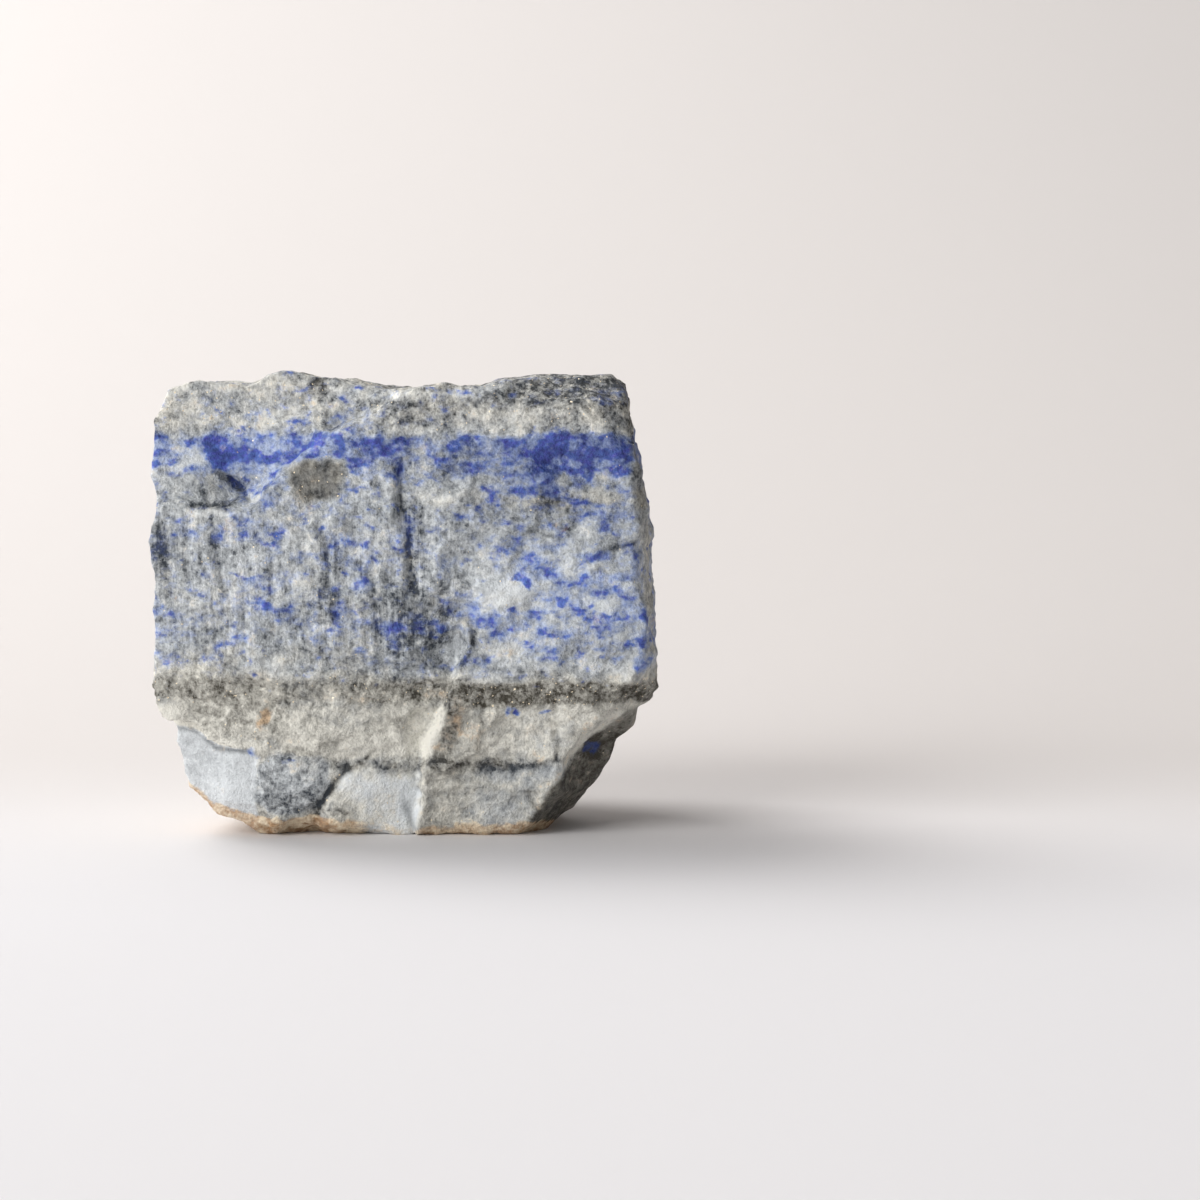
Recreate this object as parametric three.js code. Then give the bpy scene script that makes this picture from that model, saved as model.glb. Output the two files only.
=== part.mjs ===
// A rough lump of lapis lazuli, broken from a banded vein and left as it split: one solid piece of stone.
// Millimetres. X runs to the right across the broad front face, Y back through the lump, Z up.
// The origin is under the middle of the lump, on the surface that it rests on.
//
// The lump is star-shaped: every straight line from its heart leaves it once. So each point of its surface
// is a distance from the heart, which is the nearest of the broken side walls, the flat fracture faces and
// the hollow flake scars, with the corners between them a little worn. Low relief and grain are added last.

import * as THREE from "three";
import { mergeVertices } from "three/addons/utils/BufferGeometryUtils.js";

// Driving dimensions
const WIDTH = 64.3;
const HEIGHT = 58.8;
const DEPTH = 38;
const HEART = new THREE.Vector3(0, 18, 29);
const CORNER_WEAR = 150; // a higher power leaves the corners between the faces sharper
const CELL = 1.95; // spacing of the surface grid

// The broken edge all round, seen from the front: x, z, and how much it widens (+) or narrows (-) for each
// millimetre further back, as a share of its distance from the heart.
const OUTLINE = [
  [-9.9, -1.3, -0.001],
  [-17.5, 0.9, -0.002],
  [-24.3, 4.2, -0.003],
  [-27.5, 6.8, -0.004],
  [-28.3, 9.8, -0.004],
  [-29.2, 13.6, -0.004],
  [-31.2, 15.6, -0.003],
  [-32.2, 19.4, -0.003],
  [-31.1, 28.6, -0.002],
  [-31.7, 35, -0.002],
  [-31.2, 43.4, -0.002],
  [-31.8, 48, -0.002],
  [-31.5, 53, -0.002],
  [-29.6, 56.6, -0.002],
  [-26, 57.8, -0.001],
  [-19.8, 57.3, -0.001],
  [-17.3, 58.3, -0.001],
  [-14.1, 58.8, -0.0002],
  [-10.5, 58.1, 0.0002],
  [-2.6, 56.4, 0.0002],
  [2, 56.8, -0.001],
  [9.4, 57, -0.001],
  [11.8, 57.9, -0.001],
  [26, 58.4, -0.001],
  [27.9, 57, -0.0005],
  [28.9, 52, 0.0005],
  [29.8, 45, 0.001],
  [31, 34, 0.001],
  [31.9, 23, 0.0005],
  [32.1, 18.6, -0.001],
  [31.4, 16.9, -0.001],
  [29.6, 16, 0],
  [29.1, 13.6, 0],
  [26.9, 11.8, 0],
  [25.9, 9.2, 0],
  [24.6, 6.3, 0],
  [23.1, 4.2, 0],
  [21.6, 2.2, 0],
  [19.2, 0.2, -0.001],
  [17.5, -1.3, -0.001],
];

// Flat fracture faces: a point that each passes through, and the way it faces.
const FRACTURE_FACES = [
  { at: [0, 0, 30], facing: [0, -1, 0] }, // the broad front
  { at: [0, 0, 15], facing: [0.02, -1, -0.1] }, // the front below the dark band
  { at: [21.5, 0, 9.1], facing: [0.69, -0.4, -0.6] }, // the steep break at the lower right
  { at: [0, 0.6, 0.3], facing: [0, -0.6, -0.8] }, // the worn front foot
  { at: [-31, 0.5, 56], facing: [-0.55, -0.45, 0.6] }, // the rubbed top left corner
  { at: [5, 1.2, 57], facing: [0.05, -0.62, 0.78] }, // the bevel along the top
  { at: [29, 1, 57], facing: [0.7, -0.35, 0.6] }, // the top right corner
  { at: [29.2, 0, 40], facing: [0.86, -0.5, 0.08] }, // the narrow bevel down the right edge
  { at: [20.9, 0, 9.1], facing: [0.5, -0.75, -0.43] }, // the narrow bevel along the steep break
  { at: [2, DEPTH, 30], facing: [0.06, 1, 0.05] }, // the back
  { at: [20, 35, 40], facing: [0.5, 0.8, 0.22] }, // back, to the right
  { at: [-20, 34, 42], facing: [-0.42, 0.85, 0.24] }, // back, to the left
  { at: [-8, 35.5, 14], facing: [-0.16, 0.88, -0.42] }, // back, below
  { at: [16, 33, 14], facing: [0.55, 0.6, -0.5] }, // back, lower right
  { at: [0, 30, 56], facing: [0.05, 0.5, 0.86] }, // the back of the top
  { at: [-29, 24, 30], facing: [-0.93, 0.34, -0.05] }, // the left side's rear half
  { at: [-24, 24, 6], facing: [-0.62, 0.4, -0.66] }, // the left foot's rear
  { at: [0, 27, 0], facing: [0.04, 0.42, -0.88] }, // the rear of the underside
];

// The face under the lip at the lower left
const UNDER_LIP_FACE = { at: [-23, 1, 12], facing: [-0.2, -0.96, -0.17] };

// Hollow scars where flakes sprang off, each part of a ball pressed in: a point of the face that it is in,
// the way that face looks, the ball's radius and how deep it bites.
const FLAKE_SCARS = [
  { at: [-24, 0, 68], facing: [0, -1, 0], radius: 100, bite: 3.4 }, // the broad scar over the upper left
  { at: [-20.6, 1.2, 45.2], facing: [0, -1, 0], radius: 4, bite: 1.5 }, // the pit
  { at: [-22.4, 1, 47.6], facing: [0, -1, 0], radius: 5.4, bite: 1 }, // the blue hollow over the pit
  { at: [-10.4, 0, 45.2], facing: [0, -1, 0], radius: 10, bite: 0.6 }, // the grey dimple
  { at: [0.4, 0.4, 2.4], facing: [0, -1, 0], radius: 2.5, bite: 1 }, // the notch in the front foot
  { at: [-12, 1.2, 0.8], facing: [0, -0.6, -0.8], radius: 10, bite: 1 }, // the raised foot to its left
  { at: [19.6, 0, 48], facing: [0, -1, 0], radius: 15, bite: 0.5 }, // the shallow hollow at the upper right
  { at: [23.4, 2.6, 11], facing: [0.69, -0.4, -0.6], radius: 9, bite: 1.5 }, // the bite in the steep break
  { at: [5, 37.6, 36], facing: [0.06, 1, 0.05], radius: 30, bite: 1.7 }, // back, the large shell
  { at: [-21.8, 35, 18.7], facing: [-0.32, 0.85, -0.4], radius: 24, bite: 1.2 }, // back, low on its left
  { at: [-19, 34.4, 45], facing: [-0.4, 0.86, 0.26], radius: 19, bite: 1 }, // back, high on its left
  { at: [19, 35.5, 42], facing: [0.5, 0.83, 0.2], radius: 22, bite: 1.1 }, // back, high on its right
  { at: [27.5, 28, 21], facing: [0.6, 0.64, -0.4], radius: 20, bite: 0.9 }, // right, low
  { at: [-30.2, 17, 43.6], facing: [-1, 0.07, 0], radius: 27, bite: 1 }, // left, high
  { at: [-28, 22, 16], facing: [-0.93, 0.2, -0.25], radius: 22, bite: 0.9 }, // left, low
  { at: [-6, 20, 56.9], facing: [0.08, 0, 1], radius: 38, bite: 1.2 }, // the dip in the top
  { at: [18, 24, 57.3], facing: [0, 0.12, 1], radius: 26, bite: 0.7 }, // the top, to the right
  { at: [30.6, 19, 44], facing: [1, 0, 0.1], radius: 28, bite: 0.8 }, // right, high
];

// Small chips knocked off the edges: flat cuts spread evenly over all ways of facing
const CHIP_COUNT = 46;
const CHIP_BITE = 2; // the deepest, behind
const FRONT_CHIP_BITE = 0.5; // the deepest on the front rim

// The vein's layers, which stand out as low ledges round the sides and the back
const LAYER_THICKNESS = 4.3;
const LAYER_LEDGE = 0.32;

// Relief on the front, as paths of x, z.
const SPLIT_EDGE = [
  [8, 28.4],
  [8.5, 26.4],
  [8.3, 23.9],
  [6.6, 20.4],
  [5.6, 17],
  [4.2, 13.4],
  [2.6, 8.4],
  [1.9, 1],
];
const LIP = [
  [-33, 17.4],
  [-30.8, 14.8],
  [-26.4, 14.1],
  [-23.6, 12.1],
  [-18.6, 11.2],
  [-18.3, 2],
];
const STEP_UP = [
  [-33, 42.4],
  [-26.4, 41.9],
  [-21.9, 41.5],
  [-19.5, 43.1],
  [-16.3, 44.3],
  [-13.6, 46.4],
  [-10.7, 49.4],
  [-6.8, 51.2],
  [-3.3, 53.2],
  [0.3, 55.2],
  [5, 57],
];
const FOOT_GROOVE = [
  [-5.6, 10.6],
  [-8.2, 7.7],
  [-9.8, 5.2],
  [-11.4, 2.2],
];
const SHEAR_GROOVE = [
  [-0.3, 47.5],
  [0, 43],
  [0.8, 38],
  [1.4, 31],
];

// The front's lower edge, left to right, and how far the underside runs back for each millimetre below it
const FOOT_EDGE = [
  [-18, 1.9],
  [-12.9, 2.5],
  [-7.2, 1],
  [0.2, 0.1],
  [3.4, 0.9],
  [15, 1.4],
  [21, 2.6],
];
const FOOT_OVERHANG = 1.7;

// Smooth 0 to 1 as value goes from low to high.
function ease(value, low, high) {
  return THREE.MathUtils.smoothstep(value, low, high);
}

// A fixed random number from -1 to 1 for each corner of a cubic lattice.
function cornerValue(i, j, k) {
  const s = Math.sin(i * 127.1 + j * 311.7 + k * 74.7) * 43758.5453;
  return 2 * (s - Math.floor(s)) - 1;
}

// Lattice noise: the corner values blended smoothly between the corners.
function latticeNoise(x, y, z) {
  const cell = [x, y, z].map(Math.floor);
  const [u, v, w] = [x, y, z].map((c, axis) => ease(c - cell[axis], 0, 1));
  let sum = 0;
  for (let corner = 0; corner < 8; corner++) {
    const [a, b, c] = [corner & 1, (corner >> 1) & 1, corner >> 2];
    const weight = (a ? u : 1 - u) * (b ? v : 1 - v) * (c ? w : 1 - w);
    sum += weight * cornerValue(cell[0] + a, cell[1] + b, cell[2] + c);
  }
  return sum;
}

// Distance of x, z from a path, positive on the right of the way it runs, and how far along it that is.
function fromPath(path, x, z) {
  let best = { distance: Infinity, side: 1, along: 0 };
  for (let i = 0; i + 1 < path.length; i++) {
    const [ax, az] = path[i];
    const [dx, dz] = [path[i + 1][0] - ax, path[i + 1][1] - az];
    const share = ((x - ax) * dx + (z - az) * dz) / (dx * dx + dz * dz);
    const t = THREE.MathUtils.clamp(share, 0, 1);
    const distance = Math.hypot(x - ax - t * dx, z - az - t * dz);
    if (distance < best.distance) {
      const side = Math.sign((x - ax) * dz - (z - az) * dx) || 1;
      best = { distance, side, along: (i + t) / (path.length - 1) };
    }
  }
  return { distance: best.side * best.distance, along: best.along };
}

// The height of a path that runs from left to right, at x.
function heightOn(path, x) {
  const reached = path.findIndex(([pointX]) => pointX > x);
  if (reached === 0) return path[0][1];
  if (reached < 0) return path[path.length - 1][1];
  const [[ax, az], [bx, bz]] = [path[reached - 1], path[reached]];
  return THREE.MathUtils.mapLinear(x, ax, bx, az, bz);
}

// How far the front is pushed back (+) or stands out (-) at x, z.
function frontRelief(x, z) {
  const split = fromPath(SPLIT_EDGE, x, z);
  const right = Math.max(split.distance, 0);
  const left = Math.max(-split.distance, 0);
  const splitFade = ease(split.along, 0, 0.25) * ease(30 - z, 0, 3);
  const valley = 1.8 * Math.exp(-right / 4.5) * ease(split.distance, -0.7, 1.3);
  const crest = 0.5 * Math.exp(-left / 4) * ease(-split.distance, -1, 1);
  const step = fromPath(STEP_UP, x, z);
  const stepFade = ease(6 - x, 0, 8);
  const foot = fromPath(FOOT_GROOVE, x, z);
  const footWidth = 0.6 + 0.9 * foot.along;
  const footDepth = 0.2 + 0.9 * foot.along;
  const groove = fromPath(SHEAR_GROOVE, x, z);
  const under = Math.max(heightOn(FOOT_EDGE, x) - z, 0);
  return (
    splitFade * (valley - crest) +
    1.1 * stepFade * ease(-step.distance, -0.6, 1.2) +
    footDepth * Math.exp(-((foot.distance / footWidth) ** 2)) +
    0.45 * Math.exp(-((groove.distance / 0.9) ** 2)) +
    FOOT_OVERHANG * under
  );
}

// Distance from the heart to the broken side walls, along a direction.
function toOutline(direction) {
  const across = Math.hypot(direction.x, direction.z);
  const [dx, dz] = [direction.x / across, direction.z / across];
  for (let i = 0; i < OUTLINE.length; i++) {
    const [ax, az, widenA] = OUTLINE[i];
    const [bx, bz, widenB] = OUTLINE[(i + 1) % OUTLINE.length];
    const [px, pz] = [ax - HEART.x, az - HEART.z];
    const [qx, qz] = [bx - ax, bz - az];
    const turn = dx * qz - dz * qx;
    const reach = (px * qz - pz * qx) / turn;
    const share = (px * dz - pz * dx) / turn;
    if (reach > 0 && share >= 0 && share < 1) {
      const widen = THREE.MathUtils.lerp(widenA, widenB, share);
      const wall = (reach * (1 + widen * HEART.y)) / (across - widen * reach * direction.y);
      return wall > 0 ? wall : Infinity;
    }
  }
  return Infinity;
}

// Distance from the heart to a fracture face, along a direction that leaves through it.
function toFace({ at, facing }, direction) {
  const normal = new THREE.Vector3(...facing).normalize();
  const lean = normal.dot(direction);
  const gap = new THREE.Vector3(...at).sub(HEART).dot(normal);
  return lean > 1e-6 ? gap / lean : Infinity;
}

// Distance from the heart to the near side of a scar's ball, along a direction that meets it.
function toScar({ at, facing, radius, bite }, direction) {
  const outwards = new THREE.Vector3(...facing).setLength(radius - bite);
  const centre = new THREE.Vector3(...at).sub(HEART).add(outwards);
  const along = centre.dot(direction);
  const inside = along * along - centre.lengthSq() + radius * radius;
  return inside > 0 && along > 0 ? along - Math.sqrt(inside) : Infinity;
}

// How far towards the face under the lip the surface lies in a direction: 0 above the lip, 1 below it.
function underLipShare(direction) {
  if (direction.y > -0.2) return 0;
  const toFront = -HEART.y / direction.y;
  const [x, z] = [HEART.x + toFront * direction.x, HEART.z + toFront * direction.z];
  return ease(fromPath(LIP, x, z).distance, -1, 1.6);
}

// Directions spread evenly over a sphere, on a spiral from pole to pole.
function spiralDirections(count) {
  const goldenTurn = Math.PI * (3 - Math.sqrt(5));
  return Array.from({ length: count }, (_, i) => {
    const y = 1 - (2 * i + 1) / count;
    const around = Math.sqrt(1 - y * y);
    return new THREE.Vector3(around * Math.cos(goldenTurn * i), y, around * Math.sin(goldenTurn * i));
  });
}

// The chips, as faces: each lies a small bite inside the furthest point of the unchipped lump that way.
function chippedFaces() {
  const corners = spiralDirections(2000).map((direction) => {
    const faces = FRACTURE_FACES.map((face) => toFace(face, direction));
    return direction.clone().multiplyScalar(nearest([toOutline(direction), ...faces])).add(HEART);
  });
  const behind = (normal) => normal.y > 0.2;
  const frontRim = (normal) => normal.y < -0.35 && normal.y > -0.88;
  return spiralDirections(CHIP_COUNT)
    .map((normal, i) => {
      const deepest = behind(normal) ? CHIP_BITE : FRONT_CHIP_BITE;
      const bite = deepest * (0.25 + 0.375 * (1 + cornerValue(i, 3, 5)));
      const reach = Math.max(...corners.map((corner) => corner.dot(normal)));
      return { at: normal.clone().multiplyScalar(reach - bite).toArray(), facing: normal.toArray() };
    })
    .filter(({ facing }) => behind({ y: facing[1] }) || frontRim({ y: facing[1] }));
}

// The nearest of several distances, with the change from one to the next rounded.
function nearest(distances) {
  const least = Math.min(...distances);
  const sum = distances.reduce((total, distance) => total + (least / distance) ** CORNER_WEAR, 0);
  return least * sum ** (-1 / CORNER_WEAR);
}

// How far a layer of the vein stands out (+) or is worn back (-) at a point: each layer by its own amount,
// with a short slope from one to the next.
function layerLedge(x, y, z) {
  const height = z / LAYER_THICKNESS + 1.1 * latticeNoise(x / 16, y / 13, z / 11);
  const layer = Math.floor(height);
  const blend = ease(height - layer, 0.72, 1);
  return THREE.MathUtils.lerp(cornerValue(layer, 2, 7), cornerValue(layer + 1, 2, 7), blend);
}

// Small hollow shells that meet in sharp ridges: the lowest of many bowls, one to each lattice cell.
function shells(x, y, z) {
  const [i, j, k] = [x, y, z].map(Math.floor);
  let lowest = Infinity;
  for (let neighbour = 0; neighbour < 27; neighbour++) {
    const p = i + (neighbour % 3) - 1;
    const q = j + (Math.floor(neighbour / 3) % 3) - 1;
    const r = k + Math.floor(neighbour / 9) - 1;
    const awayX = x - p - 0.5 - 0.42 * cornerValue(p, q, r);
    const awayY = y - q - 0.5 - 0.42 * cornerValue(p + 31, q, r);
    const awayZ = z - r - 0.5 - 0.42 * cornerValue(p, q + 17, r);
    const lean = 0.45 * cornerValue(p, q, r + 53);
    const bowl = awayX ** 2 + awayY ** 2 + awayZ ** 2 + lean * (awayX + awayZ + 0.3);
    lowest = Math.min(lowest, bowl);
  }
  return lowest - 0.3;
}

// The point of the surface that a direction from the heart leads to.
function surfacePoint(direction, chips) {
  const faces = [...FRACTURE_FACES, ...chips].map((face) => toFace(face, direction));
  const scars = FLAKE_SCARS.map((scar) => toScar(scar, direction));
  const lipless = nearest([toOutline(direction), ...faces, ...scars]);
  const lipped = nearest([lipless, toFace(UNDER_LIP_FACE, direction)]);
  const reach = THREE.MathUtils.lerp(lipless, lipped, underLipShare(direction));
  const point = direction.clone().multiplyScalar(reach).add(HEART);

  // Low relief on the front only, fading out round its edge
  const front = ease(-direction.y, 0.3, 0.5);
  point.y += front * frontRelief(point.x, point.z);

  const lumps = latticeNoise(point.x / 7 + 9, point.y / 7, point.z / 6);
  const grain = 1.2 * shells(point.x / 6.5 + 0.4, point.y / 6.5, point.z / 5);
  const side = 1 - ease(-direction.y, 0.35, 0.7);
  const ledge = LAYER_LEDGE * layerLedge(point.x, point.y, point.z);
  const rise = side * (ledge + 0.3 * lumps) + 0.12 * lumps + grain;
  point.addScaledVector(direction, rise);

  // The flat spot that it rests on
  point.z = Math.max(point.z, 0);
  return point;
}

// The lump's surface: a grid over a box, each point moved along its line from the heart.
function lumpGeometry() {
  const cells = [WIDTH, DEPTH, HEIGHT].map((length) => Math.round(length / CELL));
  const grid = new THREE.BoxGeometry(WIDTH, DEPTH, HEIGHT, ...cells);
  grid.deleteAttribute("normal");
  grid.deleteAttribute("uv");
  const surface = mergeVertices(grid);
  const position = surface.getAttribute("position");
  const direction = new THREE.Vector3();
  const chips = chippedFaces();
  for (let i = 0; i < position.count; i++) {
    direction.fromBufferAttribute(position, i).normalize();
    const point = surfacePoint(direction, chips);
    position.setXYZ(i, point.x, point.y, point.z);
  }
  surface.computeBoundingBox();
  const middle = surface.boundingBox.getCenter(new THREE.Vector3());
  surface.translate(-middle.x, -middle.y, 0);
  surface.computeVertexNormals();
  return surface;
}

const stone = new THREE.MeshStandardMaterial({ color: 0x9298a0, roughness: 0.85, metalness: 0 });
const lump = new THREE.Mesh(lumpGeometry(), stone);
lump.name = "lapis_lump";

const group = new THREE.Group();
group.name = "rough_lapis_lazuli";
group.add(lump);

export default group;
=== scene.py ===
# A rough lump of lapis lazuli, standing on a pale table. Every length here is in millimetres until it goes
# into a mesh, and the lump is worked out with the middle of its broad front face at x = 0, y = 0.

import itertools

import bpy
import numpy as np
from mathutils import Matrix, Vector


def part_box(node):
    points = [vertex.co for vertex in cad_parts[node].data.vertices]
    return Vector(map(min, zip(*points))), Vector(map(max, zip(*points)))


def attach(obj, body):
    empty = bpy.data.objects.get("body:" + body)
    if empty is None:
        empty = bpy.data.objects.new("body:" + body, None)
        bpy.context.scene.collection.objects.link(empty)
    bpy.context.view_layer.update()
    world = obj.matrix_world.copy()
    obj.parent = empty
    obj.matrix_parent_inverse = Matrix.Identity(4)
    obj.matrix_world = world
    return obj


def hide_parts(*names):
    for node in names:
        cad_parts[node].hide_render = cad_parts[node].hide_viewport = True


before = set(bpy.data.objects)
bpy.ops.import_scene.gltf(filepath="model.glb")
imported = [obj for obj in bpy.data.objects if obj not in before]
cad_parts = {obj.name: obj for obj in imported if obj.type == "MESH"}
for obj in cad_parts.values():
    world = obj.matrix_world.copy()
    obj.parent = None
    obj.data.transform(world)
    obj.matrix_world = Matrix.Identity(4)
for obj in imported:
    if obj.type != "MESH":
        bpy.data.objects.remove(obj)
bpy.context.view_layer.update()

# The lump's place
# The CAD solid is centred on its box, while the formulas below start from the front face, so what is made
# here is carried over by the difference between the two boxes.
MM = 0.001
lump_low, lump_high = (np.array(corner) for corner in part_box("lapis_lump"))
FRONT_FACE_Y = 19.6  # how far the front face stands ahead of the origin


# The camera
# It looks level along the front's normal from a little above the lump, with the lump left of centre.
CAMERA_RIGHT = 24.6
CAMERA_UP = 66.0
CAMERA_AHEAD = 400.0  # of the front face
CAMERA_PITCH = 5.1  # degrees down
LENS = 96.0
SENSOR = 36.0

view = bpy.data.cameras.new("view")
view.lens = LENS
view.sensor_width = SENSOR
view.clip_start = 0.01
camera = bpy.data.objects.new("view", view)
camera.location = (CAMERA_RIGHT * MM, -(CAMERA_AHEAD + FRONT_FACE_Y) * MM, CAMERA_UP * MM)
camera.rotation_euler = (np.radians(90 - CAMERA_PITCH), 0, 0)
bpy.context.scene.collection.objects.link(camera)
bpy.context.scene.camera = camera
bpy.context.scene.view_settings.view_transform = "Standard"


# The shading language
# A material is written as sums and products of sockets, each operator adding a Math node.
class Shade:
    """A socket in one material's tree. Arithmetic adds Math nodes, and node() adds any other node."""

    def __init__(self, tree, socket=None):
        self.tree = tree
        self.socket = socket

    def node(self, kind, settings, inputs, output=0):
        """Add a node, set its properties, then its inputs by name or number, and give one of its outputs."""
        made = self.tree.nodes.new(kind)
        for name, value in settings.items():
            setattr(made, name, value)
        for name, value in inputs.items():
            if isinstance(value, Shade):
                self.tree.links.new(value.socket, made.inputs[name])
            else:
                made.inputs[name].default_value = value
        return Shade(self.tree, made.outputs[output])

    def math(self, operation, *values):
        return self.node("ShaderNodeMath", {"operation": operation}, dict(enumerate(values)))

    def __add__(self, other):
        return self.math("ADD", self, other)

    def __sub__(self, other):
        return self.math("SUBTRACT", self, other)

    def __rsub__(self, other):
        return self.math("SUBTRACT", other, self)

    def __mul__(self, other):
        return self.math("MULTIPLY", self, other)

    __radd__ = __add__
    __rmul__ = __mul__

    def ease(self, low, high):
        """Smooth 0 to 1 as the value goes from low to high."""
        inputs = {"Value": self, "From Min": low, "From Max": high}
        return self.node("ShaderNodeMapRange", {"interpolation_type": "SMOOTHSTEP"}, inputs)

    def mix(self, first, second):
        """The first colour where this value is 0, the second where it is 1."""
        inputs = {0: self, 6: first, 7: second}
        return self.node("ShaderNodeMix", {"data_type": "RGBA"}, inputs, output=2)

    def scaled(self, x, y, z):
        """This vector with each of its parts multiplied."""
        return self.node("ShaderNodeVectorMath", {"operation": "MULTIPLY"}, {0: self, 1: (x, y, z)})

    def noise(self, scale, detail=2.0, roughness=0.5):
        """Cloudy noise about 0.5, its lumps about 1 / scale across, read at this vector."""
        inputs = {"Vector": self, "Scale": scale, "Detail": detail, "Roughness": roughness}
        return self.node("ShaderNodeTexNoise", {}, inputs)


def new_material(name):
    """A material with its shader and the start of its shading language."""
    material = bpy.data.materials.new(name)
    material.use_nodes = True
    return material, material.node_tree.nodes["Principled BSDF"], Shade(material.node_tree)


def linear(red, green, blue):
    """A colour seen on a screen, 0 to 255, as the light that makes it."""
    share = np.array([red, green, blue]) / 255
    return (*np.where(share <= 0.04045, share / 12.92, ((share + 0.055) / 1.055) ** 2.4), 1.0)


def object_with_mesh(name, points, faces, material):
    """A smooth-shaded object from an array of points in metres and an array of four-sided faces."""
    mesh = bpy.data.meshes.new(name)
    mesh.from_pydata(points, [], faces)
    mesh.polygons.foreach_set("use_smooth", np.ones(len(mesh.polygons), dtype=bool))
    mesh.materials.append(material)
    mesh.update()
    made = bpy.data.objects.new(name, mesh)
    bpy.context.scene.collection.objects.link(made)
    return made


# The table and the wall behind it
# One pale sheet, flat under the lump and swept up behind it, so that no line shows where it turns.
SHEET_HALF_WIDTH = 1500.0
SHEET_FRONT = -900.0
SWEEP_START = 110.0  # behind the front face
SWEEP_RADIUS = 620.0
WALL_HEIGHT = 1400.0
WHITEST_AT = -80.0  # behind the lump's middle, and from there back the sheet is painted a little darker: painted shade, where less light falls than on the flat in front
DARKEST_AT = 70.0


def sheet_points(across, along):
    """The sheet: across is x. Along runs over the flat, then round a quarter circle, then straight up."""
    flat = SWEEP_START - SHEET_FRONT
    bend = 0.5 * np.pi * SWEEP_RADIUS
    distance = along * (flat + bend + WALL_HEIGHT)
    turn = np.clip((distance - flat) / SWEEP_RADIUS, 0, 0.5 * np.pi)
    rise = np.maximum(distance - flat - bend, 0)
    y = SHEET_FRONT + np.minimum(distance, flat) + SWEEP_RADIUS * np.sin(turn)
    z = SWEEP_RADIUS * (1 - np.cos(turn)) + rise
    return np.stack([across * SHEET_HALF_WIDTH, y - FRONT_FACE_Y, z], axis=-1)


def grid_faces(rows, columns):
    """The squares of a grid of points numbered row by row."""
    start = (np.arange(rows - 1)[:, None] * columns + np.arange(columns - 1)).ravel()
    return np.stack([start, start + 1, start + columns + 1, start + columns], axis=1)


paper, paper_shader, paper_shade = new_material("pale_paper")
paper_place = paper_shade.node("ShaderNodeTexCoord", {}, {}, output=3)
paper_depth = paper_place.node("ShaderNodeSeparateXYZ", {}, {0: paper_place}, output=1)
# The sheet's colour darkens towards the back: painted shade
paper_painted_shade = paper_depth.ease(WHITEST_AT * MM, DARKEST_AT * MM)
paper_colour = paper_painted_shade.mix(linear(228, 227, 229), linear(216, 212, 210))
paper_shade.tree.links.new(paper_colour.socket, paper_shader.inputs["Base Color"])
paper_shader.inputs["Roughness"].default_value = 0.9
paper_shader.inputs["Specular IOR Level"].default_value = 0.1
across, along = np.meshgrid(np.linspace(-1, 1, 5), np.linspace(0, 1, 161))
sheet_mesh_points = sheet_points(across, along).reshape(-1, 3) * MM
sheet = object_with_mesh("pale_sheet", sheet_mesh_points, grid_faces(*across.shape), paper)


# The light
# A tall window stands to the left, behind the lump, and the pale room lights the front from the left.
def soft_light(name, direction, distance, size, watts, colour):
    """A rectangular light at a distance along a direction from the lump's middle, facing the lump."""
    lamp = bpy.data.lights.new(name, "AREA")
    lamp.shape = "RECTANGLE"
    lamp.size, lamp.size_y = (side * MM for side in size)
    lamp.energy = watts
    lamp.color = colour
    light = bpy.data.objects.new(name, lamp)
    towards = np.array(direction) / np.linalg.norm(direction)
    middle = np.array([0, 0, 30.0])
    light.location = (middle + distance * towards) * MM
    pitch = np.arccos(towards[2])
    turn = np.arctan2(towards[1], towards[0])
    light.rotation_euler = (0, pitch, turn)
    bpy.context.scene.collection.objects.link(light)


soft_light("window", (-0.54, 0.42, 0.73), 1050, (760, 600), 9.6, (1.0, 0.985, 0.97))
soft_light("room", (-0.66, -0.6, 0.45), 1900, (1500, 1300), 31.0, (1.0, 0.99, 0.98))
world = bpy.data.worlds.new("room_light")
world.use_nodes = True
world.node_tree.nodes["Background"].inputs["Color"].default_value = (1.0, 0.985, 0.98, 1.0)
world.node_tree.nodes["Background"].inputs["Strength"].default_value = 0.16
bpy.context.scene.world = world


# The lump's shape
# One piece of banded stone that split off its vein along flat faces and hollow shells. Every straight line
# from its heart leaves it once, so its surface is a distance from the heart for each direction.
WIDTH = 64.3
DEPTH = 38.0
HEIGHT = 58.8
HEART = np.array([0.0, 18.0, 29.0])
CORNER_WEAR = 150
CELL = 0.352
DEPTH_CELLS = 50
DEPTH_GRADING = 1.3  # the cells grow towards the back

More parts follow.
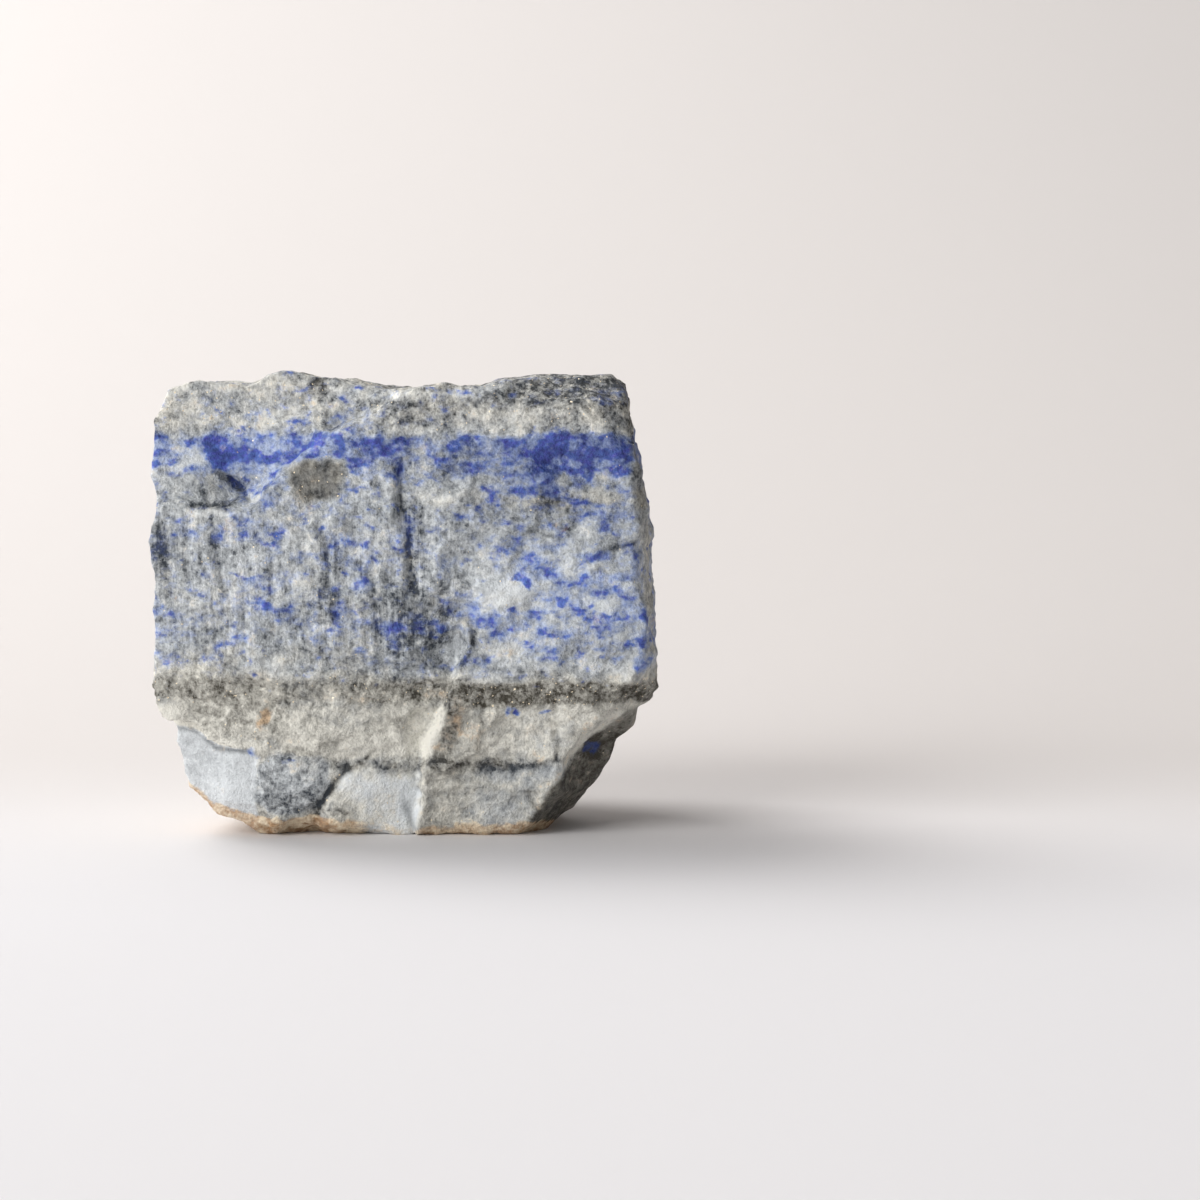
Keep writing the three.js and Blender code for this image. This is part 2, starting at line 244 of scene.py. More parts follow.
# The broken edge all round, seen from the front: x, z, and how much it widens for each millimetre back
OUTLINE = np.array([
    [-9.9, -1.9, -0.001], [-17.7, -0.2, -0.002], [-24.8, 2.8, -0.003], [-28, 5.6, -0.004],
    [-28.8, 8.8, -0.004], [-29.2, 13.6, -0.004], [-31.2, 15.6, -0.003], [-32.2, 19.4, -0.003],
    [-31.1, 28.6, -0.002], [-31.7, 35, -0.002], [-31.2, 43.4, -0.002], [-31.8, 48, -0.002],
    [-31.5, 53, -0.002], [-29.6, 56.6, -0.002], [-26, 57.8, -0.001], [-19.8, 57.3, -0.001],
    [-17.3, 58.3, -0.001], [-14.1, 58.8, -0.0002], [-10.5, 58.1, 0.0002], [-2.6, 56.4, 0.0002],
    [2, 56.8, -0.001], [9.4, 57, -0.001], [11.8, 57.9, -0.001], [26, 58.4, -0.001],
    [27.9, 57, -0.0005], [28.9, 52, 0.0005], [29.8, 45, 0.001], [31, 34, 0.001],
    [31.9, 23, 0.0005], [32.1, 18.6, -0.001], [31.4, 16.9, -0.001], [29.6, 16.0, 0],
    [29.1, 13.6, 0], [26.9, 11.8, 0], [25.9, 9.2, 0], [24.6, 6.3, 0],
    [23.1, 4.2, 0], [21.6, 2.2, 0], [19.2, 0.2, -0.001], [17.5, -1.3, -0.001],
])

# Flat fracture faces: a point that each passes through, and the way it faces.
FRACTURE_FACES = [
    ([0, 0, 30], [0, -1, 0]),  # the broad front
    ([0, 0, 15], [0.02, -1, -0.1]),  # the front below the dark band
    ([21.5, 0, 9.1], [0.69, -0.4, -0.6]),  # the steep break at the lower right
    ([0, 0.6, 0.3], [0, -0.6, -0.8]),  # the worn front foot
    ([-31, 0.5, 56], [-0.55, -0.45, 0.6]),  # the rubbed top left corner
    ([5, 1.2, 57], [0.05, -0.62, 0.78]),  # the bevel along the top
    ([29, 1, 57], [0.7, -0.35, 0.6]),  # the top right corner
    ([29.2, 0, 40], [0.86, -0.5, 0.08]),  # the narrow bevel down the right edge
    ([20.9, 0, 9.1], [0.5, -0.75, -0.43]),  # the narrow bevel along the steep break
    ([2, DEPTH, 30], [0.06, 1, 0.05]),  # the back
    ([20, 35, 40], [0.5, 0.8, 0.22]),  # back, to the right
    ([-20, 34, 42], [-0.42, 0.85, 0.24]),  # back, to the left
    ([-8, 35.5, 14], [-0.16, 0.88, -0.42]),  # back, below
    ([16, 33, 14], [0.55, 0.6, -0.5]),  # back, lower right
    ([0, 30, 56], [0.05, 0.5, 0.86]),  # the back of the top
    ([-29, 24, 30], [-0.93, 0.34, -0.05]),  # the left side's rear half
    ([-24, 24, 6], [-0.62, 0.4, -0.66]),  # the left foot's rear
    ([0, 27, 0], [0.04, 0.42, -0.88]),  # the rear of the underside
]
UNDER_LIP_FACE = ([-23, 1, 12], [-0.2, -0.96, -0.17])

# Hollow scars where flakes sprang off: a point of the face, the way it looks, the ball's radius and its bite.
FLAKE_SCARS = [
    ([-24, 0, 68], [0, -1, 0], 100, 3.4),  # the broad scar over the upper left
    ([-20.6, 1.2, 45.2], [0, -1, 0], 4, 1.5),  # the pit
    ([-22.4, 1, 47.6], [0, -1, 0], 5.4, 1),  # the blue hollow over the pit
    ([-10.4, 0, 45.2], [0, -1, 0], 10, 0.6),  # the grey dimple
    ([0.4, 0.4, 2.4], [0, -1, 0], 2.5, 1),  # the notch in the front foot
    ([-12, 1.2, 0.8], [0, -0.6, -0.8], 10, 1),  # the raised foot to its left
    ([19.6, 0, 48], [0, -1, 0], 15, 0.5),  # the shallow hollow at the upper right
    ([23.4, 2.6, 11], [0.69, -0.4, -0.6], 9, 1.5),  # the bite in the steep break
    ([5, 37.6, 36], [0.06, 1, 0.05], 30, 1.7),  # back, the large shell
    ([-21.8, 35, 18.7], [-0.32, 0.85, -0.4], 24, 1.2),  # back, low on its left
    ([-19, 34.4, 45], [-0.4, 0.86, 0.26], 19, 1),  # back, high on its left
    ([19, 35.5, 42], [0.5, 0.83, 0.2], 22, 1.1),  # back, high on its right
    ([27.5, 28, 21], [0.6, 0.64, -0.4], 20, 0.9),  # right, low
    ([-30.2, 17, 43.6], [-1, 0.07, 0], 27, 1),  # left, high
    ([-28, 22, 16], [-0.93, 0.2, -0.25], 22, 0.9),  # left, low
    ([-6, 20, 56.9], [0.08, 0, 1], 38, 1.2),  # the dip in the top
    ([18, 24, 57.3], [0, 0.12, 1], 26, 0.7),  # the top, to the right
    ([30.6, 19, 44], [1, 0, 0.1], 28, 0.8),  # right, high
]

# Small chips knocked off the edges: flat cuts spread evenly over all ways of facing
CHIP_COUNT = 46
CHIP_BITE = 2.0
FRONT_CHIP_BITE = 0.5

# The vein's layers, which stand out as low ledges round the sides and the back
LAYER_THICKNESS = 4.3
LAYER_LEDGE = 0.32

# Relief on the front, as paths of x, z
SPLIT_EDGE = [[8, 28.4], [8.5, 26.4], [8.3, 23.9], [6.6, 20.4], [5.6, 17], [4.2, 13.4], [2.6, 8.4], [1.9, 1]]
LIP = [[-33, 17.4], [-30.8, 14.8], [-26.4, 14.1], [-23.6, 12.1], [-18.6, 11.2], [-18.3, 2]]
STEP_UP = [
    [-33, 42.4], [-26.4, 41.9], [-21.9, 41.5], [-19.5, 43.1], [-16.3, 44.3], [-13.6, 46.4],
    [-10.7, 49.4], [-6.8, 51.2], [-3.3, 53.2], [0.3, 55.2], [5, 57],
]
BREAK_EDGE = [
    [27.8, 16.1], [24.9, 13.6], [22.6, 11.9], [21, 9.6], [19.6, 7.7], [17.6, 5.2], [15.3, 2.1], [14.1, 0.6],
]
FOOT_GROOVE = [[-5.6, 10.6], [-8.2, 7.7], [-9.8, 5.2], [-11.4, 2.2]]

# Narrow grooves down the front where it sheared: depth, half width and path
SHEAR_GROOVES = [
    (0.8, 0.7, [[-0.3, 47.5], [0, 43], [0.8, 38], [1.4, 31]]),
    (0.3, 0.35, [[-23.7, 40.6], [-23.3, 36], [-22.6, 31]]),
    (0.35, 0.5, [[-9.9, 38.6], [-9.4, 33], [-8.7, 27.5]]),
    (0.25, 0.4, [[-27.2, 39.5], [-26.8, 30]]),
    (0.25, 0.4, [[-16.7, 33.5], [-16.2, 26]]),
    (0.3, 0.5, [[-3.6, 33], [-3, 24]]),
    (0.3, 0.6, [[4.6, 34.5], [5.4, 28.5]]),
    (1.1, 0.45, [[-23.5, 45.8], [-22, 45], [-20.6, 43.8]]),
    (0.9, 0.35, [[-20.1, 43.5], [-19.5, 42.9]]),
    (0.8, 0.3, [[-26.4, 42.2], [-22.2, 41.9]]),
    (0.5, 0.3, [[-24.6, 45.6], [-24.5, 42.6]]),
    (0.35, 0.22, [[18.9, 17.4], [19, 15], [19.5, 12.2], [19.3, 10]]),
    (0.4, 0.25, [[15.9, 5.8], [16.2, 4.4], [17.3, 3.1]]),
    (0.5, 0.35, [[8.1, 28.3], [9.2, 26.6], [9.1, 24.4]]),
]

# The lower edge of the front, which hangs a little over the table: x, z
FOOT_EDGE_X = [-18, -15.5, -12.9, -10, -7.2, -3, 0.2, 3.4, 10, 15, 17.1, 21]
FOOT_EDGE_Z = [1.3, 1.3, 2.0, 1.1, 1.0, 0.7, 0.1, 0.9, 0.8, 1.4, 1.8, 2.6]
FOOT_OVERHANG = 1.7  # how far the underside runs back for each millimetre down


def ease(value, low, high):
    """Smooth 0 to 1 as value goes from low to high."""
    share = np.clip((value - low) / (high - low), 0, 1)
    return share * share * (3 - 2 * share)


def corner_value(i, j, k):
    """A fixed random number from -1 to 1 for each corner of a cubic lattice."""
    s = np.sin(i * 127.1 + j * 311.7 + k * 74.7) * 43758.5453
    return 2 * (s - np.floor(s)) - 1


def lattice_noise(x, y, z):
    """Lattice noise: the corner values blended smoothly between the corners."""
    x, y, z = np.broadcast_arrays(x, y, z)
    i, j, k = np.floor(x), np.floor(y), np.floor(z)
    u, v, w = ease(x - i, 0, 1), ease(y - j, 0, 1), ease(z - k, 0, 1)
    total = np.zeros(x.shape)
    for a in (0, 1):
        for b in (0, 1):
            for c in (0, 1):
                weight = (u if a else 1 - u) * (v if b else 1 - v) * (w if c else 1 - w)
                total = total + weight * corner_value(i + a, j + b, k + c)
    return total


def from_path(path, x, z):
    """Distance of x, z from a path, positive on the right of the way it runs, and the share along it."""
    distance = np.full(x.shape, np.inf)
    side = np.ones(x.shape)
    along = np.zeros(x.shape)
    for i, ((ax, az), (bx, bz)) in enumerate(zip(path, path[1:])):
        dx, dz = bx - ax, bz - az
        t = np.clip(((x - ax) * dx + (z - az) * dz) / (dx * dx + dz * dz), 0, 1)
        away = np.hypot(x - ax - t * dx, z - az - t * dz)
        nearer = away < distance
        side = np.where(nearer, np.where((x - ax) * dz - (z - az) * dx < 0, -1, 1), side)
        along = np.where(nearer, (i + t) / (len(path) - 1), along)
        distance = np.minimum(away, distance)
    return side * distance, along


# How deep the front's relief is, and how far it reaches
SPLIT_HOLLOW = 1.8
SPLIT_HOLLOW_REACH = 4.5
SPLIT_CREST = 0.35
SPLIT_CREST_REACH = 6
STEP_DEPTH = 1.8


def front_relief(x, z):
    """How far the front is pushed back (+) or stands out (-) at x, z."""
    x = x + 0.45 * lattice_noise(x / 2.1, 7.3, z / 2.4) + 0.22 * lattice_noise(x / 0.8, 2.1, z / 0.9)
    z = z + 0.35 * lattice_noise(x / 2.3, 31.3, z / 1.9) + 0.2 * lattice_noise(x / 0.9, 40.1, z / 0.8)
    split, along_split = from_path(SPLIT_EDGE, x, z)
    fade = ease(along_split, 0, 0.25) * ease(30 - z, 0, 3)
    hollow = SPLIT_HOLLOW * np.exp(-np.maximum(split, 0) / SPLIT_HOLLOW_REACH) * ease(split, -0.2, 1.1)
    crest = SPLIT_CREST * np.exp(-np.maximum(-split, 0) / SPLIT_CREST_REACH) * ease(-split, -0.8, 0.4)
    step, _ = from_path(STEP_UP, x, z)
    foot, along_foot = from_path(FOOT_GROOVE, x, z)
    grooves = sum(
        depth * np.exp(-((from_path(path, x, z)[0] / width) ** 2)) for depth, width, path in SHEAR_GROOVES
    )
    under = np.maximum(np.interp(x, FOOT_EDGE_X, FOOT_EDGE_Z) - z, 0)
    return (
        fade * (hollow - crest)
        + STEP_DEPTH * ease(6 - x, 0, 8) * ease(-step, 0, 1.8)
        + (0.2 + 0.9 * along_foot) * np.exp(-((foot / (0.6 + 0.9 * along_foot)) ** 2))
        + grooves
        + FOOT_OVERHANG * under
    )


def to_outline(direction):
    """Distance from the heart to the broken side walls."""
    across = np.maximum(np.hypot(direction[:, 0], direction[:, 2]), 1e-9)
    dx, dz = direction[:, 0] / across, direction[:, 2] / across
    distance = np.full(len(direction), np.inf)
    for (ax, az, widen_a), (bx, bz, widen_b) in zip(OUTLINE, np.roll(OUTLINE, -1, axis=0)):
        px, pz = ax - HEART[0], az - HEART[2]
        qx, qz = bx - ax, bz - az
        turn = dx * qz - dz * qx
        reach = (px * qz - pz * qx) / turn
        share = (px * dz - pz * dx) / turn
        widen = widen_a + (widen_b - widen_a) * share
        met = (reach > 0) & (share >= 0) & (share < 1)
        wall = reach * (1 + widen * HEART[1]) / (across - widen * reach * direction[:, 1])
        distance = np.where(met & (wall > 0), wall, distance)
    return distance


def to_face(at, facing, direction):
    """Distance from the heart to a fracture face, along directions that leave through it."""
    normal = np.array(facing) / np.linalg.norm(facing)
    lean = direction @ normal
    gap = (np.array(at) - HEART) @ normal
    return np.where(lean > 1e-6, gap / np.maximum(lean, 1e-6), np.inf)


def to_scar(at, facing, radius, bite, direction):
    """Distance from the heart to the near side of a scar's ball, along directions that meet it."""
    outwards = np.array(facing) / np.linalg.norm(facing) * (radius - bite)
    centre = np.array(at) - HEART + outwards
    along = direction @ centre
    inside = along * along - centre @ centre + radius * radius
    return np.where((inside > 0) & (along > 0), along - np.sqrt(np.maximum(inside, 0)), np.inf)


def nearest(distances):
    """The nearest of several distances, with the change from one to the next rounded."""
    least = np.min(distances, axis=0)
    total = sum((least / distance) ** CORNER_WEAR for distance in distances)
    return least * total ** (-1 / CORNER_WEAR)


def spiral_directions(count):
    """Directions spread evenly over a sphere, on a spiral from pole to pole."""
    i = np.arange(count)
    y = 1 - (2 * i + 1) / count
    around = np.sqrt(1 - y * y)
    turn = np.pi * (3 - np.sqrt(5)) * i
    return np.stack([around * np.cos(turn), y, around * np.sin(turn)], axis=1)


def chipped_faces():
    """The chips, as faces: each lies a small bite inside the unchipped lump's furthest point that way."""
    rays = spiral_directions(2000)
    reach = nearest([to_outline(rays)] + [to_face(at, facing, rays) for at, facing in FRACTURE_FACES])
    corners = HEART + rays * reach[:, None]
    normals = spiral_directions(CHIP_COUNT)
    behind = normals[:, 1] > 0.2
    front_rim = (normals[:, 1] < -0.35) & (normals[:, 1] > -0.88)
    deepest = np.where(behind, CHIP_BITE, FRONT_CHIP_BITE)
    bite = deepest * (0.25 + 0.375 * (1 + corner_value(np.arange(CHIP_COUNT), 3, 5)))
    furthest = (corners @ normals.T).max(axis=0)
    places = normals * (furthest - bite)[:, None]
    return [pair for pair, kept in zip(zip(places, normals), behind | front_rim) if kept]


def under_lip_share(direction):
    """How far towards the face under the lip the surface lies: 0 above the lip, 1 below it."""
    forward = np.minimum(direction[:, 1], -0.2)
    x = HEART[0] - HEART[1] * direction[:, 0] / forward
    z = HEART[2] - HEART[1] * direction[:, 2] / forward
    distance, _ = from_path(LIP, x, z)
    return np.where(direction[:, 1] > -0.2, 0, ease(distance, -0.2, 0.45))


def layer_ledge(x, y, z):
    """How far a layer of the vein stands out, each by its own amount, with a short slope between."""
    height = z / LAYER_THICKNESS + 1.1 * lattice_noise(x / 16, y / 13, z / 11)
    layer = np.floor(height)
    low, high = corner_value(layer, 2, 7), corner_value(layer + 1, 2, 7)
    return low + (high - low) * ease(height - layer, 0.72, 1)


def shells(x, y, z):
    """Small hollow shells that meet in sharp ridges: the lowest of many bowls, one to each lattice cell."""
    i, j, k = np.floor(x), np.floor(y), np.floor(z)
    lowest = np.full(x.shape, np.inf)
    for a, b, c in itertools.product((-1, 0, 1), repeat=3):
        p, q, r = i + a, j + b, k + c
        away_x = x - p - 0.5 - 0.42 * corner_value(p, q, r)
        away_y = y - q - 0.5 - 0.42 * corner_value(p + 31, q, r)
        away_z = z - r - 0.5 - 0.42 * corner_value(p, q + 17, r)
        lean = 0.45 * corner_value(p, q, r + 53)
        bowl = away_x ** 2 + away_y ** 2 + away_z ** 2 + lean * (away_x + away_z) + 0.3 * lean
        lowest = np.minimum(lowest, bowl)
    return lowest - 0.3


def sheared(x, z):
    """Where the front is drawn out in upright fibres: the grey rock left of the white flecks."""
    return ease(z, 20, 25) * (1 - ease(z, 41, 47)) * (1 - 0.75 * ease(x, 3, 12))


def fracture_grain(x, y, z, side):
    """The rough grain of the break: shells of falling size, rougher on the sides, and upright fibres."""
    fibres = lattice_noise(x / 1.1 + 3, y / 2, z / 8) + 0.6 * lattice_noise(x / 0.55, y / 2 + 4, z / 5)
    return (
        (1.7 - 0.5 * side) * shells(x / 6.5 + 0.4, y / 6.5, z / 5)
        + (0.9 - 0.4 * side) * shells(x / 2.7 + 20, y / 2.7, z / 2.1)
        + (0.36 - 0.14 * side) * shells(x / 1.25 + 40, y / 1.25, z / 1.1)
        + 0.3 * (1 - side) * sheared(x, z) * fibres
    )


def smooth_rock(x, z):
    """Where the front broke smoothly: the pale rock under the lip and left of the split's foot."""
    under_lip = ease(from_path(LIP, x, z)[0], 0, 0.6) * (1 - ease(x, -18.9, -17.7))
    foot = ease(x + 0.6 * (z - 6), -9.4, -6.4) * (1 - ease(x, 1.4, 2.4)) * (1 - ease(z, 6.5, 8.9))
    return np.maximum(under_lip, foot)


def lump_surface(direction):
    """The point of the surface that each direction from the heart leads to."""
    faces = [to_face(at, facing, direction) for at, facing in FRACTURE_FACES + chipped_faces()]
    scars = [to_scar(*scar, direction) for scar in FLAKE_SCARS]
    lipless = nearest([to_outline(direction), *faces, *scars])
    lipped = nearest([lipless, to_face(*UNDER_LIP_FACE, direction)])
    reach = lipless + (lipped - lipless) * under_lip_share(direction)
    point = HEART + direction * reach[:, None]
    front = ease(-direction[:, 1], 0.3, 0.5)
    point[:, 1] += front * front_relief(point[:, 0], point[:, 2])
    x, y, z = point.T
    lumps = lattice_noise(x / 7 + 9, y / 7, z / 6)
    side = 1 - ease(-direction[:, 1], 0.35, 0.7)
    past_edge = -from_path(BREAK_EDGE, x, z)[0]
    steep_break = ease(past_edge, -0.3, 0.8) * (1 - ease(z, 15, 17)) * ease(-direction[:, 1], -0.3, 0.2)
    calm = 1 - 0.7 * np.maximum((1 - side) * smooth_rock(x, z), steep_break)
    rise = side * (LAYER_LEDGE * layer_ledge(x, y, z) + 0.3 * lumps) + 0.12 * lumps
    rise = rise + calm * fracture_grain(x, y, z, side)
    point += direction * rise[:, None]
    point[:, 2] = np.maximum(point[:, 2], 0)
    return point


def lattice_box(cells):
    """A box's surface on a lattice of whole steps: its points, each once, and its squares, facing out."""
    corners = []
    for axis in range(3):
        first, second = (axis + 1) % 3, (axis + 2) % 3
        a, b = np.meshgrid(np.arange(cells[first]), np.arange(cells[second]), indexing="ij")
        for end in (0, cells[axis]):
            steps = [(0, 0), (1, 0), (1, 1), (0, 1)] if end else [(0, 0), (0, 1), (1, 1), (1, 0)]
            square = np.zeros((a.size, 4, 3), dtype=int)
            square[:, :, axis] = end
            for corner, (step_a, step_b) in enumerate(steps):
                square[:, corner, first] = a.ravel() + step_a
                square[:, corner, second] = b.ravel() + step_b
            corners.append(square)
    corners = np.concatenate(corners)
    key = (corners[..., 0] * (cells[1] + 1) + corners[..., 1]) * (cells[2] + 1) + corners[..., 2]
    _, kept, numbers = np.unique(key, return_index=True, return_inverse=True)
    return corners.reshape(-1, 3)[kept], numbers.reshape(-1, 4)


box_size = np.array([WIDTH, DEPTH, HEIGHT])
cells = np.round(box_size / CELL).astype(int)
cells[1] = DEPTH_CELLS
lattice, lump_faces = lattice_box(cells)
share = lattice / cells
share[:, 1] = share[:, 1] ** DEPTH_GRADING
rays = (share - 0.5) * box_size
rays = rays / np.linalg.norm(rays, axis=1, keepdims=True)
lump_points = lump_surface(rays)


# The layers and patches of the lump
# Lapis lies in the vein as level layers: grey and white rock flecked with blue, a strongly blue layer near
# the top, a dark band of pyrite below the middle, white calcite under it and an ochre skin at the foot.
def band(height, low, high, soft):
    """1 between two heights, fading to 0 over a soft edge outside them."""
    return ease(height, low - soft, low + soft) * (1 - ease(height, high - soft, high + soft))


def blots(x, z, spots):
    """Soft oval spots added up: the middle, the half width, the half height and the strength of each."""
    return sum(
        strength * np.exp(-(((x - mid_x) / half_x) ** 2) - ((z - mid_z) / half_z) ** 2)
        for mid_x, mid_z, half_x, half_z, strength in spots
    )


# Where blue gathers on the front
BLUE_SPOTS = [
    (-24.0, 48.6, 1.6, 1.4, 0.9), (-22.6, 47.6, 1.4, 1.6, 0.7), (-26.0, 46.6, 1.6, 0.8, 0.5),
    (-19.6, 48.8, 2.4, 1.0, 0.35), (-19.9, 46.3, 1.0, 0.5, 0.6), (-17.2, 47.9, 2.6, 1.0, 0.3),
    (-23.6, 50.8, 1.2, 0.7, 0.35), (-19.3, 53.2, 1.7, 0.7, 0.3), (-22.1, 52.4, 1.2, 0.9, 0.25),
    (-12.9, 52.6, 1.2, 0.6, 0.25), (-8.1, 53.4, 1.6, 0.6, 0.3), (-31.2, 47.7, 1.2, 2.0, 0.35),
    (-3.8, 50.2, 2.0, 1.0, 0.35), (-2.2, 48.6, 1.2, 1.0, 0.35), (-6.4, 48.2, 1.6, 0.7, 0.3),
    (-31.4, 41.3, 0.9, 1.0, 0.4), (-31.4, 36.5, 0.8, 1.0, 0.4), (-26.0, 38.6, 2.2, 1.0, 0.25),
    (-16.0, 43.0, 0.7, 0.5, 0.3), (-17.7, 39.0, 1.6, 1.4, 0.25), (-22.8, 38.0, 1.0, 0.8, 0.25),
    (-8.1, 38.2, 2.4, 1.0, 0.4), (-16.7, 35.9, 1.2, 0.8, 0.3), (-11.8, 35.6, 2.0, 0.8, 0.25),
    (-6.1, 34.3, 1.2, 0.7, 0.35), (-19.3, 32.2, 1.2, 0.8, 0.4), (-5.4, 32.2, 1.3, 0.8, 0.5),
    (-15.9, 29.2, 1.7, 0.5, 0.45), (-19.5, 29.4, 1.8, 0.4, 0.3), (-14.6, 27.5, 0.8, 0.7, 0.5),
    (-30.5, 29.0, 0.8, 0.9, 0.5), (-19.7, 25.0, 1.0, 0.5, 0.6), (-7.2, 28.8, 1.0, 1.2, 0.35),
    (-12.9, 25.8, 1.0, 0.6, 0.35), (-11.1, 25.3, 0.9, 0.4, 0.5), (-8.4, 25.6, 1.0, 0.6, 0.4),
    (-2.3, 26.4, 0.9, 0.7, 0.6), (-5.1, 23.4, 1.0, 0.5, 0.6), (-4.6, 22.0, 0.8, 0.4, 0.4),
    (-19.4, 11.0, 1.0, 0.6, 1.3), (-3.8, 9.7, 1.1, 0.4, 1.2), (-14.3, 9.8, 1.4, 0.5, 0.7),
    (18.8, 48.8, 2.1, 2.3, 0.95), (25.4, 49.2, 3.2, 1.8, 0.35), (13.4, 55.8, 0.7, 0.5, 0.6),
    (26.6, 55.7, 1.6, 0.7, 0.7), (9.6, 51.6, 1.4, 0.9, 0.2), (20.5, 52.0, 1.0, 0.4, 0.5),
    (27.6, 46.6, 0.8, 1.8, 0.35), (22.6, 46.4, 1.4, 0.8, 0.3), (8.7, 46.4, 2.2, 1.0, 0.15),
    (19.7, 43.4, 1.0, 1.1, 0.35), (22.4, 42.4, 2.2, 0.4, 0.6), (25.9, 42.4, 2.0, 0.5, 0.35),
    (24.3, 41.2, 3.0, 0.5, 0.5), (25.7, 39.7, 1.8, 0.8, 0.4), (8.5, 40.8, 2.2, 0.5, 0.3),
    (5.5, 40.0, 1.6, 0.6, 0.25), (19.0, 39.1, 0.9, 0.6, 0.4), (14.5, 37.4, 1.2, 0.7, 0.5),
    (18.6, 36.6, 1.4, 0.6, 0.4), (0.6, 39.1, 0.6, 1.8, 0.4), (5.0, 35.4, 1.7, 0.9, 0.35),
    (23.4, 35.9, 2.2, 0.5, 0.6), (28.9, 35.4, 0.8, 0.7, 0.5), (15.3, 34.8, 1.4, 0.6, 0.4),
    (17.9, 33.8, 1.4, 0.6, 0.6), (14.6, 32.9, 1.2, 0.5, 0.45), (27.0, 33.3, 2.0, 0.6, 0.55),
    (21.4, 32.6, 2.4, 0.6, 0.55), (25.6, 31.2, 1.4, 0.6, 0.5), (19.2, 30.6, 1.6, 0.8, 0.3),
    (9.6, 29.4, 1.2, 0.9, 0.5), (11.4, 27.6, 1.2, 0.5, 0.6), (12.1, 25.8, 0.9, 0.5, 0.7),
    (14.3, 26.5, 0.9, 0.3, 0.5), (5.4, 26.2, 1.1, 0.6, 0.45), (9.8, 22.6, 0.6, 0.5, 0.6),
    (3.0, 22.0, 0.8, 0.4, 0.4), (16.4, 28.8, 1.8, 0.5, 0.65), (28.0, 29.6, 1.2, 1.0, 0.35),
    (30.4, 27.9, 0.9, 0.8, 0.6), (26.4, 27.9, 0.9, 0.5, 0.4), (20.3, 26.2, 1.2, 0.5, 0.45),
    (25.3, 26.6, 2.2, 0.4, 0.5), (24.6, 24.2, 1.0, 0.5, 0.85), (22.9, 24.8, 0.6, 0.3, 0.7),
    (27.6, 24.2, 0.4, 0.7, 0.75), (26.8, 22.6, 0.6, 0.4, 0.7), (29.1, 22.9, 0.5, 0.8, 0.85),
    (30.2, 21.8, 1.1, 0.5, 0.8), (30.6, 25.6, 0.8, 0.9, 0.7), (13.8, 16.2, 0.9, 0.45, 1.6),
    (17.5, 16.0, 0.8, 0.4, 1.3), (23.6, 11.0, 0.9, 1.2, 0.7),
]

# Where the front is white or cream
WHITE_SPOTS = [
    (-27.0, 48.1, 1.6, 1.8, 0.35), (13.6, 53.2, 1.0, 1.4, 0.35), (2.4, 43.2, 1.3, 0.8, 0.15),
    (11.0, 45.4, 1.6, 0.8, 0.1), (23.8, 43.8, 1.8, 0.7, 0.3), (23.0, 38.6, 2.2, 1.4, 0.06),
    (19.9, 35.2, 1.8, 1.0, 0.14), (12.7, 31.2, 2.8, 1.6, 0.4), (13.6, 23.8, 2.4, 1.4, 0.2),
    (27.9, 32.0, 1.0, 0.7, 0.25), (25.0, 29.4, 1.4, 1.0, 0.3), (6.6, 24.3, 0.9, 1.6, 0.25),
    (27.6, 21.0, 1.2, 0.9, 0.25), (5.2, 20.4, 1.0, 0.8, 0.2), (-29.2, 16.6, 2.0, 1.3, 0.4),
    (-26.8, 23.6, 1.6, 2.4, 0.2), (-16.6, 21.8, 3.4, 1.2, 0.2), (-13.0, 16.0, 1.6, 0.7, 0.2),
    (-13.0, 13.4, 0.5, 1.3, 0.4), (-28.4, 53.4, 1.4, 2.2, 0.2), (3.4, 13.8, 1.6, 2.6, 0.16),
    (-18.6, 34.0, 3.0, 1.6, 0.08), (20.5, 46.0, 0.5, 1.8, 0.3), (7.0, 43.2, 3.0, 0.9, 0.2),
]
